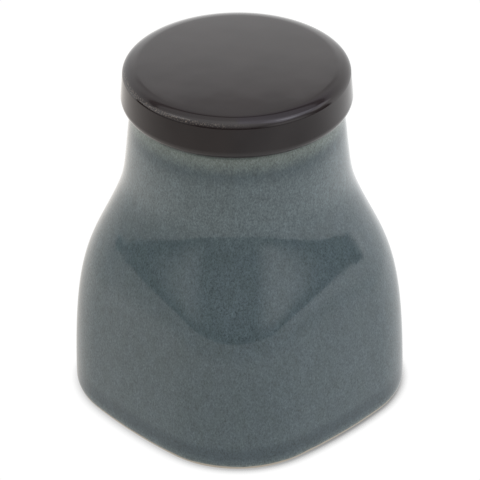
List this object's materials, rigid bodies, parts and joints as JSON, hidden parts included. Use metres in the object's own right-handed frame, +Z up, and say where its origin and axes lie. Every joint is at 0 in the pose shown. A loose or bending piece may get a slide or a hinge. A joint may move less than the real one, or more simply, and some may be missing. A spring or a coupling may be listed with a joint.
{
  "type": "storage jar",
  "caption": "Glazed stoneware storage jar with a rounded square base, sloping shoulders, a round neck and a thick flat disc lid with no knob.",
  "frame": {"origin": "centre of the foot, on the surface that the jar stands on", "axes": "+Z up through the middle of the mouth; the flat sides of the base face +X, -X, +Y and -Y"},
  "size_m": [0.1324, 0.1324, 0.1625],
  "materials": {
    "jar_glaze": "glossy blue-grey glaze over fine mottled stoneware, pale and thin at the lip, bare beige at the foot",
    "lid_glaze": "glossy black-brown glaze"
  },
  "bodies": {
    "root": {"jar_body": "jar_glaze", "lid": "lid_glaze"}
  },
  "joints": []
}
